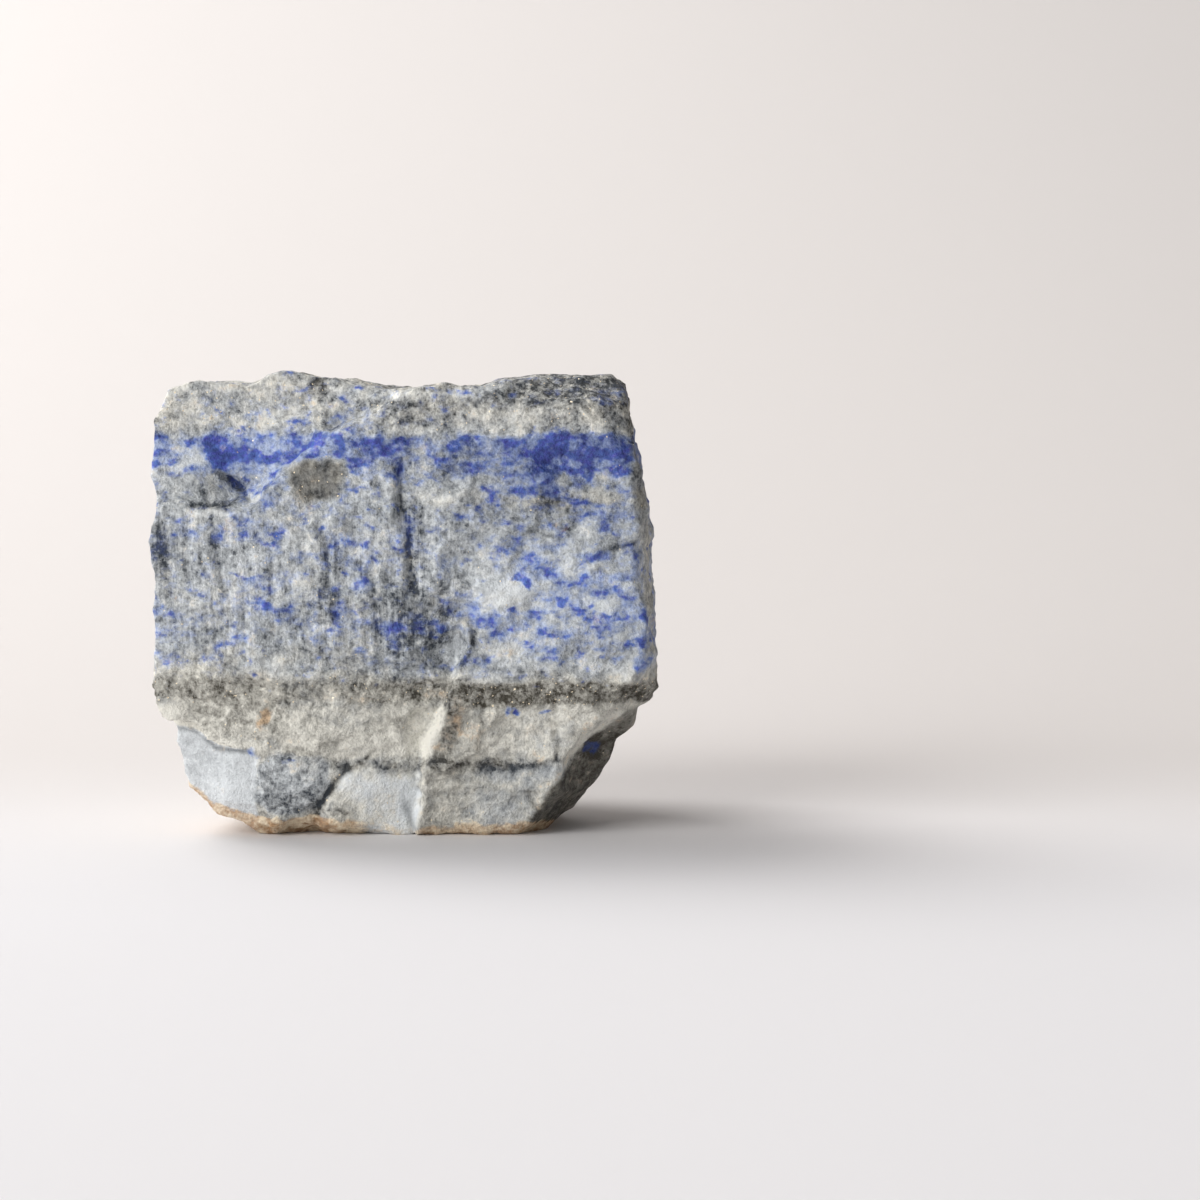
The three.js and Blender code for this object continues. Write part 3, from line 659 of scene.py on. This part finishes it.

# Where the rock is dark: pyrite and slate-grey patches, the spotted patch at the lower left, and painted
# shade in the pit and in the shallow hollow at the upper right
DARK_SPOTS = [
    (-10.6, 57.2, 1.1, 1.1, 0.6), (-19.6, 39.4, 1.0, 1.2, 0.2), (-30.4, 36.0, 1.1, 4.2, 0.25),
    (19.6, 46.4, 1.8, 2.4, 0.34), (19.3, 43.0, 2.0, 2.8, 0.4), (20.3, 39.4, 0.9, 0.6, 0.45),
    (17.1, 41.2, 1.2, 0.7, 0.3), (0.9, 38.5, 1.4, 7.0, 0.16), (-2.4, 30.0, 3.4, 6.0, 0.1),
    (-9.0, 32.0, 1.2, 5.0, 0.22), (2.5, 26.0, 3.2, 5.0, 0.16), (15.4, 35.8, 1.2, 0.8, 0.2),
    (-23.0, 54.0, 1.2, 1.6, 0.08), (12.6, 9.0, 2.2, 0.8, 0.3),
    (0.0, 54.2, 5.0, 1.6, 0.24), (26.5, 54.6, 3.4, 2.6, 0.16), (25.0, 44.0, 4.0, 4.0, 0.06),
    (16.0, 8.9, 1.4, 1.1, 0.32), (8.5, 7.6, 3.0, 1.4, 0.12), (-1.6, 8.8, 1.8, 0.9, 0.35),
    (-4.0, 4.2, 1.4, 1.8, 0.14), (9.4, 12.6, 1.6, 3.0, 0.06),
    (25.4, 56.8, 3.4, 1.2, 0.14), (14.0, 56.4, 3.0, 1.0, 0.14), (3.0, 52.8, 3.0, 0.8, 0.12),
    (28.4, 53.4, 1.4, 1.6, 0.28), (-14.6, 56.2, 4.6, 1.2, 0.12), (22.6, 18.0, 3.2, 0.5, 0.1),
    (5.0, 18.3, 1.0, 1.0, 0.12), (11.6, 18.4, 1.6, 0.7, 0.12), (15.2, 18.2, 1.0, 0.8, 0.25),
    (29.6, 18.4, 1.6, 1.0, 0.2), (3.4, 57.0, 5.0, 0.8, 0.15), (24.0, 57.6, 5.0, 1.2, 0.2),
    (6.4, 12.6, 2.0, 3.4, 0.1), (16.6, 9.6, 0.6, 0.5, 0.2), (-6.4, 9.4, 1.2, 1.2, 0.18),
    (28.4, 37.6, 1.6, 0.5, 0.15), (-24.4, 43.6, 1.6, 1.0, 0.12), (-20.6, 44.6, 1.2, 0.8, 0.3),
]

# Brown and rusty stains: iron let out by the pyrite
STAIN_SPOTS = [
    (-29.2, 54.6, 1.0, 1.4, 0.5), (20.2, 39.4, 0.9, 0.7, 0.7), (-17.2, 15.4, 0.7, 1.3, 1.4),
    (7.0, 14.4, 2.0, 2.6, 0.2), (10.2, 12.6, 1.4, 2.0, 0.3), (14.4, 14.2, 2.6, 1.4, 0.18),
    (-12.0, 42.4, 2.4, 1.0, 0.25), (18.8, 53.0, 0.5, 0.8, 0.7), (14.4, 53.0, 0.4, 1.0, 0.4),
    (-21.0, 39.4, 1.0, 1.4, 0.3), (-9.6, 55.0, 1.4, 0.8, 0.3), (5.6, 18.3, 3.0, 0.8, 0.35),
    (28.0, 52.6, 1.6, 1.0, 0.3), (-29.2, 30.6, 0.4, 0.4, 0.7), (17.4, 12.6, 1.0, 3.0, 0.15),
    (22.0, 14.4, 2.4, 0.8, 0.25), (19.8, 36.4, 1.4, 0.5, 0.2), (-6.0, 17.9, 6.0, 1.0, 0.2),
]

# The grey dimple and the spotted patch, which end at ragged edges: the middle and the half width and height
DIMPLE = (-10.6, 45.3, 3.6, 2.3)
SPOTTED = (-14.1, 7.0, 4.4, 3.9)


def near(path, x, z, width, middle=0.0):
    """1 along a line that runs beside a path, at the middle distance from it, fading over a width."""
    return np.exp(-(((from_path(path, x, z)[0] - middle) / width) ** 2))


def inside_oval(x, z, oval, soft):
    """1 inside a squared-off oval, fading to 0 over a soft edge."""
    mid_x, mid_z, half_x, half_z = oval
    away = (((x - mid_x) / half_x) ** 4 + ((z - mid_z) / half_z) ** 4) ** 0.25
    return 1 - ease(away, 1 - soft, 1 + soft)


# The narrow shaded side down the right edge
RIGHT_SIDE = [[28.8, 57], [29.3, 50], [30.0, 44], [30.8, 37], [31.4, 30], [31.7, 24]]

# The bevel of the step, pale and bluish where it catches the light
BEVEL = [[-20.4, 43.4], [-16.6, 45.3], [-13.2, 48.0], [-10.6, 50.1], [-6.8, 52.0], [-4.2, 53.6]]

# Narrow features painted along paths, many of them painted light and shade: the half width, the change in
# tone and the path
STROKES = [
    # the pit: painted shade in its crevice and in the hole at its corner, a painted shadow on its floor, and
    # its pale rims, partly painted highlight
    (0.45, -0.6, [[-23.4, 46.0], [-21.8, 45.0], [-20.7, 44.0]]),
    (0.32, -0.6, [[-20.2, 43.5], [-19.5, 42.9]]),
    (0.28, -0.45, [[-26.4, 42.3], [-24, 42.0], [-22.0, 41.9], [-20.6, 42.9]]),
    (0.35, 0.28, [[-26.8, 41.4], [-23.8, 41.1], [-21.4, 41.0], [-19.6, 42.1], [-17.6, 43.5]]),
    (0.8, 0.2, [[-23.5, 44.8], [-22.3, 43.2]]),
    (0.3, 0.22, [[-24.7, 45.6], [-24.6, 42.6]]),
    # the shadows along the step
    (0.35, -0.22, [[-15.9, 47.2], [-13, 49.1], [-10.6, 51.2], [-6.6, 52.9], [-4.4, 54.5]]),
    (0.3, -0.14, [[-12.6, 46.9], [-9.6, 49.2], [-6.2, 50.6], [-2.6, 52.6]]),
    # the thin, lit rims at the top and the left, and the grey left edge
    (0.8, 0.4, [[-31.4, 54], [-29.8, 56.2], [-26.2, 57.4], [-21.6, 57.2]]),
    (0.6, 0.35, [[-8.8, 56.5], [-4, 55.8], [0, 56], [6, 56.2], [11, 56.7]]),
    (0.3, 0.15, [[-31.2, 50], [-31.2, 44], [-31, 40]]),
    (0.9, -0.22, [[-31, 40.7], [-30.2, 36], [-29.8, 31.5]]),
    # upright streaks where the front sheared, most of them painted shade down the shear grooves
    (0.35, -0.4, [[-23.7, 41], [-23.3, 36], [-22.6, 31]]),
    (0.5, -0.2, [[-9.9, 38.8], [-9.3, 33], [-8.6, 27.8]]),
    (0.32, -0.45, [[-0.4, 47.8], [0, 43], [0.8, 38], [1.5, 31]]),
    (1.2, -0.12, [[-0.2, 46], [1, 38], [0.6, 28], [-1.6, 22]]),
    (0.4, -0.14, [[-27.4, 39], [-27, 30]]),
    (0.4, -0.14, [[-16.7, 34], [-16.2, 26]]),
    (0.5, -0.14, [[-3.6, 34], [-3, 24]]),
    (0.5, -0.14, [[4.6, 35], [5.4, 28]]),
    (0.4, -0.12, [[-20, 31], [-19.8, 24]]),
    (0.4, -0.12, [[-12.9, 31], [-12.6, 24.4]]),
    # the lip, lit, and the shadow under it
    (0.4, 0.4, [[-31.4, 16.3], [-29.4, 14.6], [-26.4, 14.3], [-25.4, 13.1], [-23.6, 12.3], [-18.9, 11.7]]),
    (0.35, -0.55, [[-29.6, 13.9], [-26.2, 13.4], [-23.7, 11.4], [-19, 10.8]]),
    # cracks at the split's head, in the white layer, over the dark band, by the groove and at the foot, with
    # painted shade down the foot groove
    (0.45, -0.5, [[8.2, 28.3], [9, 26.4], [8.7, 23.9], [7.4, 21.5]]),
    (0.3, -0.35, [[18.9, 17.9], [19, 15], [19.5, 12.2], [19.3, 9.6]]),
    (0.25, -0.3, [[9.8, 16.8], [9.4, 12.4], [9.4, 10.2]]),
    (0.25, -0.25, [[10.2, 21.3], [14.6, 21.6], [19.6, 21.1]]),
    (0.3, -0.45, [[-8.9, 8.8], [-6.2, 8.6], [-3.9, 11.2]]),
    (0.45, -0.75, [[-7, 8.6], [-8.8, 7], [-10, 5.1], [-11.3, 2.8]]),
    (0.3, -0.4, [[15.9, 5.8], [16.2, 4.4], [17.3, 3.1]]),
    # painted shadow under a small ledge at the right edge, and painted shade in the notch in the foot
    (0.4, -0.45, [[24.4, 36.1], [26.6, 36.9], [29.1, 37.4]]),
    (0.6, -0.6, [[0.2, 3.8], [0.8, 1.2]]),
    # the dark line under the white layer
    (0.8, -0.36, [[2, 9.4], [6, 9.0], [10, 9.3], [14, 8.9], [18, 9.3]]),
    (0.7, -0.16, [[-9, 9.2], [-5, 9.4], [-1, 9.0]]),
]

# The navy spot on the steep break
NAVY_SPOT = (23.6, 10.8, 1.1, 1.2, 1.0)

# How high the weathered skin reaches up the foot
SKIN_LINE_X = [-33, -27.5, -24.3, -17.5, -12, 0, 16, 20, 33]
SKIN_LINE_Z = [7.2, 5.8, 3.5, 1.1, 1.5, 0.1, 1.0, -0.6, -0.6]


# Where each kind of rock lies
# Each of these gives a share from 0 to 1 at every point of the surface, apart from the distances and heights.
x, y, z = lump_points.T
on_front = ease(-rays[:, 1], 0.25, 0.5)
side = 1 - on_front
right = ease(x, 4, 12)
left = 1 - ease(x, -14, -2)

# The layers wander a little and their edges are ragged: u, v is x, z made ragged, and level is the height
ragged_x = 0.8 * lattice_noise(x / 2.6 + 5, y / 2.6, z / 2.1)
ragged_x = ragged_x + 0.5 * lattice_noise(x, y + 9, z / 0.9)
ragged_z = 0.6 * lattice_noise(x / 2.6 + 50, y / 2.6, z / 2.1)
ragged_z = ragged_z + 0.4 * lattice_noise(x + 30, y, z / 0.9)
u, v = x + ragged_x, z + ragged_z
wander = 0.8 * lattice_noise(x / 11, y / 9, 2.5) + 0.35 * lattice_noise(x / 3.5, y / 3.5 + 8, z / 9)
level = z - 0.35 * wander + 0.35 * ragged_z
crisp_level = z - 0.3 * wander + 0.15 * ragged_z
soft_level = crisp_level + (level - crisp_level + 0.9 * ragged_z) * (1 - right)
stroke_x, stroke_z = x + 0.4 * ragged_x, z + 0.4 * ragged_z
patchy = lattice_noise(x / 8 + 3, y / 8, z / 3)

top_rock = band(level, 54.6, 62, 0.8)
above_blue = band(level, 51.5, 62, 1)
blue_heart = band(level, 46, 51, 0.6)
blue_layer = band(soft_level, 45.6 + 0.8 * left, 51, 0.7 + 0.4 * (1 - right))
flecked = band(level, 21, 46.5, 1.6)
white_layer = band(level, 10.2, 16.8, 0.5)
pyrite = right * band(crisp_level, 17, 19.7, 0.3) + (1 - right) * 0.8 * band(level, 17.2, 20.4, 1)

white = on_front * blots(u, v, WHITE_SPOTS)
dark = on_front * blots(u, v, DARK_SPOTS)
dimple = on_front * inside_oval(u, v, DIMPLE, 0.24)
spotted = on_front * inside_oval(u, v, SPOTTED, 0.12)
under_lip = on_front * ease(from_path(LIP, x, z)[0], 0, 0.5) * (1 - ease(u, -19.2, -17.6))
lip_rim = on_front * near(LIP[:-1], x, z, 0.45, -0.35)
foot_pale = on_front * smooth_rock(u, v)
bevel = on_front * near(BEVEL, stroke_x, stroke_z, 1.2)
right_side = on_front * near(RIGHT_SIDE, stroke_x, stroke_z, 0.8)

# Painted shade, with some stain, on the side of the split turned from the light, and painted light on the
# white rock along its lit edge
past_split = -from_path(SPLIT_EDGE, stroke_x, stroke_z)[0]
split_height = on_front * band(z, 9.8, 17.2, 0.6)
split_painted_shade_side = split_height * ease(past_split, 0, 0.6) * (1 - ease(past_split, 1.6, 3.6))
split_painted_light_edge = split_height * ease(-past_split, 0, 0.4) * (1 - ease(-past_split, 1.5, 5))

# The steep break at the lower right is painted dark, mostly painted shade for a face turned from the light,
# with a navy spot, and a pale strip along its front edge
past_edge = -from_path(BREAK_EDGE, stroke_x, stroke_z)[0]
break_share = ease(-rays[:, 1], -0.1, 0.3) * ease(x, 13, 14) * (1 - ease(z, 15.8, 16.6))
on_break_painted_shade = break_share * ease(past_edge, 0.1, 0.7)
strip = break_share * np.exp(-(((past_edge + 0.2) / 0.38) ** 2))
navy = blots(u, v, [NAVY_SPOT])

# The skin keeps to the foot, up to a line that rises to the left
skin_line = np.interp(x, SKIN_LINE_X, SKIN_LINE_Z) + 0.7 * ragged_z
skin = (1 - ease(z - skin_line, 0.5, 1.5)) * (1 - 0.6 * ease(x, -8, -4) * (1 - ease(x, 1, 3)))
shear = on_front * sheared(x, z)


def total(changes):
    """The sum of several changes, each given as how much and where."""
    return sum(amount * where for amount, where in changes)


# Blueness: from about 0.4 on the rock is blue
blue_rock = total([
    (0.08 + 0.06 * right + 0.18 * patchy, flecked),
    (0.04, band(level, 51.5, 57, 0.8)),
    (0.06, band(level, 21.5, 37, 1.4) * right),
    (0.1, band(level, 37, 46, 1.4) * right),
    (0.14, band(level, 43.5, 48, 1) * right),
])
blue_strength = 0.4 + 0.16 * ease(z, 46.5, 50.5) + 0.16 * patchy + 0.1 * right
blue = np.maximum(blue_layer * blue_strength, blue_rock) + total([
    (-0.45, 1 - ease(level, 16.5, 20.5)),
    (0.85, on_front * blots(u, v, BLUE_SPOTS)),
])
blue = blue * (1 - 0.9 * dimple) + total([
    (-1.2, white),
    (-0.35, dimple),
    (-0.3, band(level, 51.6, 54.4, 0.4) * right),
    (0.22, bevel),
    (-0.5, right_side),
])
blue = blue * (1 - on_break_painted_shade) + on_break_painted_shade * (0.9 * navy - 0.3)

# Lightness: 0 is the darkest rock and 1 the whitest
tone = 0.59 + total([
    (0.09, lattice_noise(x / 9, y / 8, z / 5)),
    (0.05, patchy),
    (-0.06 - 0.2 * ease(x, -10, 18), top_rock),
    (-0.14 + 0.26 * left, blue_heart),
    (-0.14, side),
    (-0.18 - 0.18 * ease(x, -14, -4) + 0.018 * right, pyrite),
    (-0.1, band(level, 20.5, 31, 2) * band(x, -12, 6, 2)),
    (0.066 + 0.154 * ease(x, -13, -9), white_layer),
    (0.2, under_lip),
    (0.42, foot_pale * (1 - under_lip)),
    (0.17, band(x, -31, -13, 2) * band(z, 51.5, 58, 1)),
    (0.1, band(level, 21, 37, 1.5) * right),
    (0.1, 1 - ease(level, 9, 10)),
    (0.1, lip_rim),
    (-0.02, band(level, 1, 9.6, 0.6) * ease(x, 1.5, 3)),
    (-0.5, dimple),
    (1, white),
    (-1, dark),
    (-0.17, spotted),
])

# Coarseness of the grains: white rock is the finest
grit = 0.84 + total([
    (0.2, spotted),
    (-0.55, np.maximum(under_lip, foot_pale)),
    (-0.5, dimple),
    (-0.2, white_layer * ease(x, -10, -8)),
    (-0.25, (1 - ease(level, 8.6, 9.6)) * ease(x, 2, 4)),
    (0.15, above_blue),
    (-0.14, band(level, 21, 50, 2) * right),
])
grit = grit * (1 - 0.5 * ease(tone, 0.8, 1.05)) * (1 - 0.4 * ease(white, 0.08, 0.3)) * (1 - 0.4 * on_break_painted_shade)

# Painted light and shade, with the cracks and streaks: the strokes, the lit bevel, the shaded right side and
# both sides of the split
tone = tone + total([
    (1, on_front * sum(change * near(path, stroke_x, stroke_z, width) for width, change, path in STROKES)),
    (0.16, bevel),
    (-0.26, right_side),
    (-0.5, split_painted_shade_side),
    (0.12, split_painted_light_edge),
    (-0.08, band(level, 42.5, 47, 1) * right),
])
# On the steep break the tone gives way to painted shade
tone = tone * (1 - on_break_painted_shade) + on_break_painted_shade * (0.1 + 0.2 * ease(z, 12.5, 15) - 0.25 * navy) + 0.26 * strip

# Warmth: 0 is slate grey and 1 is cream
warmth = 0.15 + total([
    (0.6, 1 - ease(level, 19, 22)),
    (0.3, top_rock),
    (0.35, band(level, 51.4, 54.6, 0.6)),
    (0.4, band(level, 41.8, 44.4, 0.6) * ease(x, 0, 3)),
    (0.35, band(level, 20.4, 24, 1) * left),
    (0.3 + 0.8 * right, pyrite),
    (-0.35, (1 - ease(level, 8.5, 10)) * right),
    (0.7, lip_rim),
    (0.25, side),
    (0.45, dimple),
    (-0.85, under_lip),
    (-0.7, spotted),
    (-0.45, foot_pale),
    (0.25, lattice_noise(x / 6 + 60, y / 6, z / 3)),
    (0.25, white_layer),
    (0.4, on_break_painted_shade),
    (0.2, strip),
    (0.4, right_side),
])

# Iron stains, and how likely a grain is to glint
stain = total([
    (1, on_front * blots(u, v, STAIN_SPOTS)),
    (0.12, side),
    (0.1, lattice_noise(x / 4, y / 4 + 90, z / 3)),
    (0.28, split_painted_shade_side),
    (0.1, on_break_painted_shade),
    (0.15, strip),
])
glitter = pyrite * (0.5 + 0.8 * right) + 0.3 * above_blue + 0.3 * dimple


# The stone
# Grey rock peppered with darker and paler grains, blue flecks drawn out along the layers, streaks where the
# front sheared, and glinting pyrite. All of it is read at the stone's own millimetres.
stone, stone_shader, stone_shade = new_material("lapis")
place = stone_shade.node("ShaderNodeTexCoord", {}, {}, output=3).scaled(1 / MM, 1 / MM, 1 / MM)


def field(name):
    """One of the lump's own numbers, stored on its points."""
    return stone_shade.node("ShaderNodeAttribute", {"attribute_name": name}, {}, output=2)


# Grains: crystals of three sizes, each of its own shade, over soft mottling, all about 0
ruffle = place.node("ShaderNodeTexNoise", {}, {"Vector": place, "Scale": 1.3, "Detail": 2.0}, output=1)
ruffled_inputs = {0: ruffle, 1: (0.8, 0.8, 0.8), 2: place}
ruffled = place.node("ShaderNodeVectorMath", {"operation": "MULTIPLY_ADD"}, ruffled_inputs)


def grain_lots(vector, scale):
    """A random number from 0 to 1 for each grain of a packing of grains about 1 / scale across."""
    cells_seen = vector.node("ShaderNodeTexVoronoi", {"feature": "F1"}, {"Vector": vector, "Scale": scale}, 1)
    return cells_seen.node("ShaderNodeSeparateColor", {}, {"Color": cells_seen})


def crystals(scale):
    """Grains about 1 / scale across with crisp edges, each of its own shade from -0.5 to 0.5."""
    return grain_lots(ruffled, scale) - 0.5


coarse = crystals(0.95)
medium = crystals(1.9)
fine = crystals(3.8)
speck = place.noise(1.5, detail=2, roughness=0.6) - 0.5
mottle = place.noise(0.5, detail=2, roughness=0.6) - 0.5
grain = place.noise(3.4, detail=1, roughness=0.5) - 0.5
fibre = place.scaled(2.1, 0.5, 0.2).noise(1.0, detail=3, roughness=0.7) - 0.5
pits = grain.ease(0.15, 0.22)
grains = 1.5 * mottle + 1.2 * speck + 0.2 * coarse + 0.26 * medium + 0.2 * fine + 0.5 * grain - 0.3 * pits
value = field("tone") + field("grit") * grains + field("shear") * fibre

# Rock, from cool slate grey to warm cream
warm = (field("warm") + 0.1 * coarse + 1.4 * mottle).ease(0, 1)
cool_rock = value.mix(linear(54, 61, 69), linear(226, 231, 234))
warm_rock = value.mix(linear(64, 60, 50), linear(234, 232, 222))
rock = warm.mix(cool_rock, warm_rock)

# Blue: a haze where lazurite is thin, ultramarine where it is thick
clouds = place.scaled(0.6, 0.6, 0.84).noise(1.0, detail=1.8, roughness=0.5) - 0.5
wisps = place.scaled(1.5, 1.5, 2.2).noise(1.0, detail=2, roughness=0.55) - 0.5
blueness = field("blue") + 2.5 * clouds + 0.6 * wisps + 0.14 * coarse + 0.1 * medium + 0.1 * grain
thin_blue = field("blue") + 1.1 * clouds + 0.5 * wisps + 0.12 * coarse
haze = value.mix(linear(60, 80, 138), linear(172, 191, 230))
violet = value.mix(linear(16, 20, 92), linear(74, 84, 200))
azure = value.mix(linear(12, 38, 106), linear(82, 118, 204))
rock = (0.88 * thin_blue.ease(0.02, 0.56)).mix(rock, haze)
lean = (0.5 + 2.6 * wisps + 0.3 * coarse).ease(0, 1)
rock = (0.94 * blueness.ease(0.37, 0.88)).mix(rock, lean.mix(violet, azure))
rock = (0.7 * blueness.ease(0.9, 1.7)).mix(rock, linear(22, 34, 98))

# Iron stains and the weathered skin
stained = 0.7 * (field("stain") + 1.4 * mottle + 0.3 * medium).ease(0.25, 0.95)
rock = stained.mix(rock, value.mix(linear(76, 56, 40), linear(214, 172, 120)))
skinned = 0.85 * (field("skin") + 0.8 * speck + 1.2 * mottle + 0.2 * medium).ease(0.2, 0.9)
crust = (0.5 + 2.2 * mottle + 1.6 * speck).ease(0, 1)
rock = skinned.mix(rock, crust.mix(linear(176, 132, 84), linear(242, 224, 194)))

# Glints: single grains of pyrite, most of them in the dark band, painted near white: partly a painted
# highlight
glint = (grain_lots(place, 6.2) + 0.014 * field("glitter")).ease(0.9990, 0.9995)
rock = glint.mix(rock, linear(246, 230, 200))
stone_shade.tree.links.new(rock.socket, stone_shader.inputs["Base Color"])
stone_shade.tree.links.new((0.5 * glint).socket, stone_shader.inputs["Metallic"])
rough = 0.72 - 0.1 * blueness.ease(0.4, 0.9) - 0.4 * glint
stone_shade.tree.links.new(rough.socket, stone_shader.inputs["Roughness"])

# Fine relief
relief = 0.8 * grain + 1.2 * speck + 0.16 * coarse + 0.14 * medium - 0.4 * pits
bump = relief.node("ShaderNodeBump", {}, {"Strength": 0.55, "Distance": 0.0004, "Height": relief})
stone_shade.tree.links.new(bump.socket, stone_shader.inputs["Normal"])

# The lump itself
carry = (lump_low + lump_high) / 2 / MM - (lump_points.min(axis=0) + lump_points.max(axis=0)) / 2
carry[2] = 0
lump = object_with_mesh("lapis_stone", (lump_points + carry) * MM, lump_faces, stone)
fields = {
    "blue": blue, "tone": tone, "warm": warmth, "stain": stain, "grit": grit, "shear": shear,
    "glitter": glitter, "skin": skin,
}
for name, values in fields.items():
    attribute = lump.data.attributes.new(name, "FLOAT", "POINT")
    attribute.data.foreach_set("value", values.astype(np.float32))
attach(lump, "root")
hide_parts("lapis_lump")
